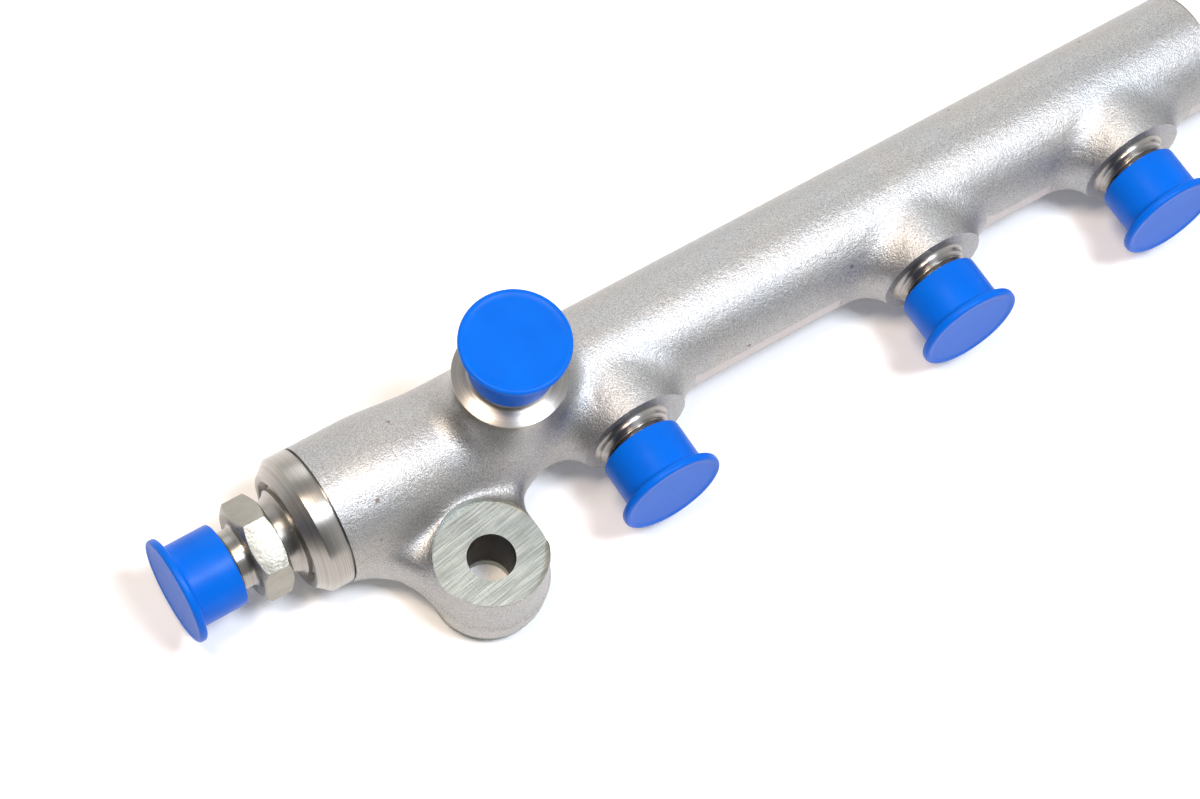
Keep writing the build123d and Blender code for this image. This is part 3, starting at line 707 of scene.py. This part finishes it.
def cut_thread(name, length, place):
    """A threaded sleeve that ends at the connection's end face."""
    rows = round(length / thread_pitch * thread_rows_per_turn)
    bpy.ops.object.select_all(action="DESELECT")
    bpy.ops.mesh.primitive_grid_add(x_subdivisions=thread_points_round,
                                    y_subdivisions=rows + 2, size=1)
    piece = bpy.context.object
    piece.name = name
    for point in piece.data.vertices:
        turn = point.co.x + 0.5
        row = round((point.co.y + 0.5) * (rows + 2))
        height = -length + length * (min(max(row, 1), rows + 1) - 1) / rows
        phase = (height / thread_pitch - turn) % 1.0
        flank = min(1.0, max(0.0, (abs(phase - 0.5) - crest_half_width) / flank_width))
        runout = min(1.0, 2 * (height + length) / thread_pitch)
        radius = min(thread_crest - (thread_crest - thread_root) * flank * runout,
                     thread_end_radius - height)
        if row in (0, rows + 2):
            radius = thread_lining
        point.co = Vector((radius * math.cos(turn * math.tau),
                           radius * math.sin(turn * math.tau), height)) * mm
    bpy.ops.object.mode_set(mode="EDIT")
    bpy.ops.mesh.select_all(action="SELECT")
    bpy.ops.mesh.remove_doubles(threshold=0.001 * mm)
    bpy.ops.mesh.select_all(action="DESELECT")
    bpy.ops.mesh.select_non_manifold()
    bpy.ops.mesh.bridge_edge_loops()
    bpy.ops.mesh.select_all(action="SELECT")
    bpy.ops.mesh.normals_make_consistent(inside=False)
    bpy.ops.object.mode_set(mode="OBJECT")
    bpy.ops.object.shade_smooth_by_angle(angle=math.radians(35))
    mark_turning(piece, place)
    piece.data.materials.append(turned_steel)
    piece.data.transform(place)
    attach(piece, "rail")


thread_lengths = {name: 12.9 for name in outlet_names}
thread_lengths.update({"return_outlet": 9.7, "pump_inlet": 11.2})
for name, place in connection_places.items():
    cut_thread(f"{name}_thread", thread_lengths[name], place)


# ==== Relief valve: turned from hexagon bar, zinc plated, screwed into the left end ====
# Inside are a pressed seat, a piston, its spring, a shim and a screwed stop.
edge_break = 0.12 * mm
broken_edge_angle = 20


def bevelled_copy(node_name, piece_name, bevel):
    """Copy of a CAD node whose sharp edges are broken."""
    piece = shaped_copy(node_name, piece_name)
    bpy.ops.object.mode_set(mode="EDIT")
    bpy.ops.mesh.select_all(action="SELECT")
    bpy.ops.mesh.dissolve_limited(angle_limit=math.radians(0.5))
    bpy.ops.object.mode_set(mode="OBJECT")
    softened = piece.modifiers.new("broken_edges", "BEVEL")
    softened.width = bevel
    softened.segments = 2
    softened.limit_method = "ANGLE"
    softened.angle_limit = math.radians(broken_edge_angle)
    bpy.ops.object.modifier_apply(modifier=softened.name)
    bpy.ops.object.shade_smooth_by_angle(angle=math.radians(25))
    return piece


# Zinc plating: a dull grey metal with a faintly crinkled skin.
crinkle_size = 0.9 * mm
zinc_cloud_size = 3 * mm
zinc_plating, tree, shader = new_material("zinc_plated_steel")
place = add_node(tree, "ShaderNodeTexCoord").outputs["Object"]
crinkle = add_node(tree, "ShaderNodeTexNoise",
                   {"Vector": place, "Scale": 1 / crinkle_size, "Detail": 4.0, "Roughness": 0.6})
cloud = add_node(tree, "ShaderNodeTexNoise",
                 {"Vector": place, "Scale": 1 / zinc_cloud_size, "Detail": 2.0})
shade = add_node(tree, "ShaderNodeMix",
                 {0: cloud.outputs["Fac"], 6: linear("#8D8C84"), 7: linear("#ABA89E")},
                 data_type="RGBA")
tree.links.new(shade.outputs[2], shader.inputs["Base Color"])
rough = add_node(tree, "ShaderNodeMapRange",
                 {"Value": crinkle.outputs["Fac"], "To Min": 0.34, "To Max": 0.52})
tree.links.new(rough.outputs[0], shader.inputs["Roughness"])
shader.inputs["Metallic"].default_value = 1.0
bump = add_node(tree, "ShaderNodeBump",
                {"Height": crinkle.outputs["Fac"], "Distance": 0.11 * mm, "Strength": 1.0})
tree.links.new(bump.outputs[0], shader.inputs["Normal"])

valve_body = bevelled_copy("relief_valve_body", "relief_valve_housing", edge_break)
valve_body.data.materials.append(zinc_plating)
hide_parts("relief_valve_body")
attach(valve_body, "rail")

# The neck and the stub show bright turned metal.
neck_profile = [(6.5, -1.4), (8.0, -1.4), (8.4, -0.9), (8.46, -0.5), (8.46, 0.25), (8.36, 0.38),
                (8.0, 0.62), (7.66, 0.98), (7.4, 1.45), (7.22, 2.0), (7.12, 2.6), (7.1, 3.2),
                (6.5, 3.2)]
stub_profile = [(5.0, 8.8), (6.35, 8.8), (6.35, 9.02), (6.1, 9.08), (5.88, 9.25), (5.76, 9.55),
                (5.74, 9.9), (5.74, 11.5), (5.8, 11.62), (6.1, 11.9), (6.2, 12.1), (6.2, 12.6),
                (5.0, 12.6)]
valve_base = stand((rail_low[0], rail_centre[1], rail_centre[2]), (-1, 0, 0))
for name, profile in (("relief_valve_neck", neck_profile), ("relief_valve_stub", stub_profile)):
    piece = turn_piece(name, profile, valve_base, turned_steel)
    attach(piece, "rail")

# Seat, piston, shim, stop and throttles: hardened and ground, smooth and bright, with fine lines.
grind_spacing = 0.2 * mm
hardened_steel, tree, shader = new_material("ground_hardened_steel")
place = add_node(tree, "ShaderNodeTexCoord").outputs["Object"]
lines = add_node(tree, "ShaderNodeMapping", {"Vector": place, "Scale": (1, 0.1, 0.1)})
ground = add_node(tree, "ShaderNodeTexNoise",
                  {"Vector": lines.outputs[0], "Scale": 1 / grind_spacing, "Detail": 2.0})
shade = add_node(tree, "ShaderNodeMix",
                 {0: ground.outputs["Fac"], 6: linear("#8E8F92"), 7: linear("#B6B7B9")},
                 data_type="RGBA")
tree.links.new(shade.outputs[2], shader.inputs["Base Color"])
shader.inputs["Metallic"].default_value = 1.0
shader.inputs["Roughness"].default_value = 0.22
bump = add_node(tree, "ShaderNodeBump",
                {"Height": ground.outputs["Fac"], "Distance": 0.006 * mm, "Strength": 1.0})
tree.links.new(bump.outputs[0], shader.inputs["Normal"])

# The spring: cold-drawn wire, darker, with faint die marks.
draw_mark_size = 0.3 * mm
spring_steel, tree, shader = new_material("drawn_spring_wire")
place = add_node(tree, "ShaderNodeTexCoord").outputs["Object"]
drawn = add_node(tree, "ShaderNodeTexNoise",
                 {"Vector": place, "Scale": 1 / draw_mark_size, "Detail": 3.0})
shade = add_node(tree, "ShaderNodeMix",
                 {0: drawn.outputs["Fac"], 6: linear("#5C5D61"), 7: linear("#86878B")},
                 data_type="RGBA")
tree.links.new(shade.outputs[2], shader.inputs["Base Color"])
shader.inputs["Metallic"].default_value = 1.0
shader.inputs["Roughness"].default_value = 0.35
bump = add_node(tree, "ShaderNodeBump",
                {"Height": drawn.outputs["Fac"], "Distance": 0.01 * mm, "Strength": 1.0})
tree.links.new(bump.outputs[0], shader.inputs["Normal"])


def finish_node(name, material):
    """Gives a CAD node that stays as it is a better material."""
    node = frame["nodes"][name]
    for holder in node.material_slots:
        holder.material = material


hardened_names = ["relief_valve_seat", "relief_valve_piston", "relief_valve_shim",
                  "relief_valve_stop", "inlet_throttle"]
hardened_names += [f"outlet_throttle_{number}" for number in (1, 2, 3, 4)]
for name in hardened_names:
    finish_node(name, hardened_steel)

# The coil gets its own mesh. In use it shortens as the piston lifts, its outer end held by the
# shim.
spring = shaped_copy("relief_valve_spring", "relief_valve_coil")
bpy.ops.object.shade_smooth_by_angle(angle=math.radians(40))
spring.data.materials.append(spring_steel)
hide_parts("relief_valve_spring")
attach(spring, "rail")
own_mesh(spring)


# ==== End plug: a hexagon-headed screw with a soft washer, closing the right end ====
# Turned from hexagon bar and zinc plated. The washer is soft aluminium, punched from sheet.
plug = bevelled_copy("end_plug", "end_plug_screw", edge_break)
plug.data.materials.append(zinc_plating)
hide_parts("end_plug")
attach(plug, "rail")

# Soft aluminium: pale, with a rubbed surface.
rub_size = 0.8 * mm
washer_edge_break = 0.15 * mm
soft_metal, tree, shader = new_material("soft_aluminium_washer")
place = add_node(tree, "ShaderNodeTexCoord").outputs["Object"]
rub = add_node(tree, "ShaderNodeTexNoise",
               {"Vector": place, "Scale": 1 / rub_size, "Detail": 3.0})
shade = add_node(tree, "ShaderNodeMix",
                 {0: rub.outputs["Fac"], 6: linear("#B9BABC"), 7: linear("#DADBDC")},
                 data_type="RGBA")
tree.links.new(shade.outputs[2], shader.inputs["Base Color"])
shader.inputs["Metallic"].default_value = 1.0
shader.inputs["Roughness"].default_value = 0.4
bump = add_node(tree, "ShaderNodeBump",
                {"Height": rub.outputs["Fac"], "Distance": 0.015 * mm, "Strength": 1.0})
tree.links.new(bump.outputs[0], shader.inputs["Normal"])
washer = bevelled_copy("end_plug_washer", "end_washer", washer_edge_break)
washer.data.materials.append(soft_metal)
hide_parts("end_plug_washer")
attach(washer, "rail")


# ==== Label: white polyester film, stuck round the bar and left blank ====
# A thin film with its own adhesive, lapped more than half way round the bar. It is satin, and
# follows the blasted steel with a faint ripple.
ripple_size = 2.5 * mm
label_film, tree, shader = new_material("white_polyester_film")
place = add_node(tree, "ShaderNodeTexCoord").outputs["Object"]
ripple = add_node(tree, "ShaderNodeTexNoise",
                  {"Vector": place, "Scale": 1 / ripple_size, "Detail": 2.0})
shade = add_node(tree, "ShaderNodeMix",
                 {0: ripple.outputs["Fac"], 6: linear("#ECECEA"), 7: linear("#F6F6F4")},
                 data_type="RGBA")
tree.links.new(shade.outputs[2], shader.inputs["Base Color"])
shader.inputs["Roughness"].default_value = 0.42
bump = add_node(tree, "ShaderNodeBump",
                {"Height": ripple.outputs["Fac"], "Distance": 0.03 * mm, "Strength": 1.0})
tree.links.new(bump.outputs[0], shader.inputs["Normal"])
finish_node("label", label_film)


# ==== Transport caps: blue polyethylene, moulded, pushed over each thread to keep dirt out ====
# A cap is soft. Its brim has a rounded edge and its top is a very shallow dish.
cap_profile = [(0.3, 1.07), (4.0, 1.08), (8.2, 1.10), (8.9, 1.13), (9.15, 1.22), (9.4, 1.28),
               (9.65, 1.27)]
cap_profile += arc_points((9.65, 0.72), 0.55, 80, 0, 6) + arc_points((9.65, 0.25), 0.55, 0, -90, 6)
cap_profile += [(8.75, -0.30), (8.4, -0.36), (8.15, -0.55), (8.03, -0.95), (8.0, -1.6),
                (8.0, -5.0), (7.98, -9.2), (7.92, -9.5), (7.75, -9.68), (7.5, -9.7),
                (7.28, -9.6), (7.12, -9.3), (7.1, -5.0), (7.1, -0.4), (6.9, 0.0), (6.6, 0.05),
                (0.3, 0.05)]
# Polyethylene: low gloss, a little light through it, with the mould's fine texture.
flow_size = 6 * mm
mould_grain_size = 0.35 * mm
blue_polyethylene, tree, shader = new_material("blue_polyethylene_moulded")
place = add_node(tree, "ShaderNodeTexCoord").outputs["Object"]
flow = add_node(tree, "ShaderNodeTexNoise",
                {"Vector": place, "Scale": 1 / flow_size, "Detail": 2.0})
skin = add_node(tree, "ShaderNodeTexNoise",
                {"Vector": place, "Scale": 1 / mould_grain_size, "Detail": 2.0})
shade = add_node(tree, "ShaderNodeMix",
                 {0: flow.outputs["Fac"], 6: linear("#005AC4"), 7: linear("#0067D6")},
                 data_type="RGBA")
tree.links.new(shade.outputs[2], shader.inputs["Base Color"])
shader.inputs["IOR"].default_value = 1.51
shader.inputs["Specular IOR Level"].default_value = 0.12
shader.inputs["Subsurface Weight"].default_value = 0.04
shader.inputs["Subsurface Radius"].default_value = (0.2, 0.5, 1.0)
shader.inputs["Subsurface Scale"].default_value = 1.0 * mm
rough = add_node(tree, "ShaderNodeMapRange",
                 {"Value": skin.outputs["Fac"], "To Min": 0.30, "To Max": 0.42})
tree.links.new(rough.outputs[0], shader.inputs["Roughness"])
bump = add_node(tree, "ShaderNodeBump",
                {"Height": skin.outputs["Fac"], "Distance": 0.012 * mm, "Strength": 1.0})
tree.links.new(bump.outputs[0], shader.inputs["Normal"])
cap_names = {"return_outlet": "relief_valve_cap", "pump_inlet": "inlet_cap"}
cap_names.update({name: f"injector_cap_{name[-1]}" for name in outlet_names})
for name, node_name in cap_names.items():
    cap = turn_piece(f"{node_name}_moulding", cap_profile, connection_places[name],
                     blue_polyethylene, hollow=False, points_round=128)
    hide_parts(node_name)
    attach(cap, node_name)
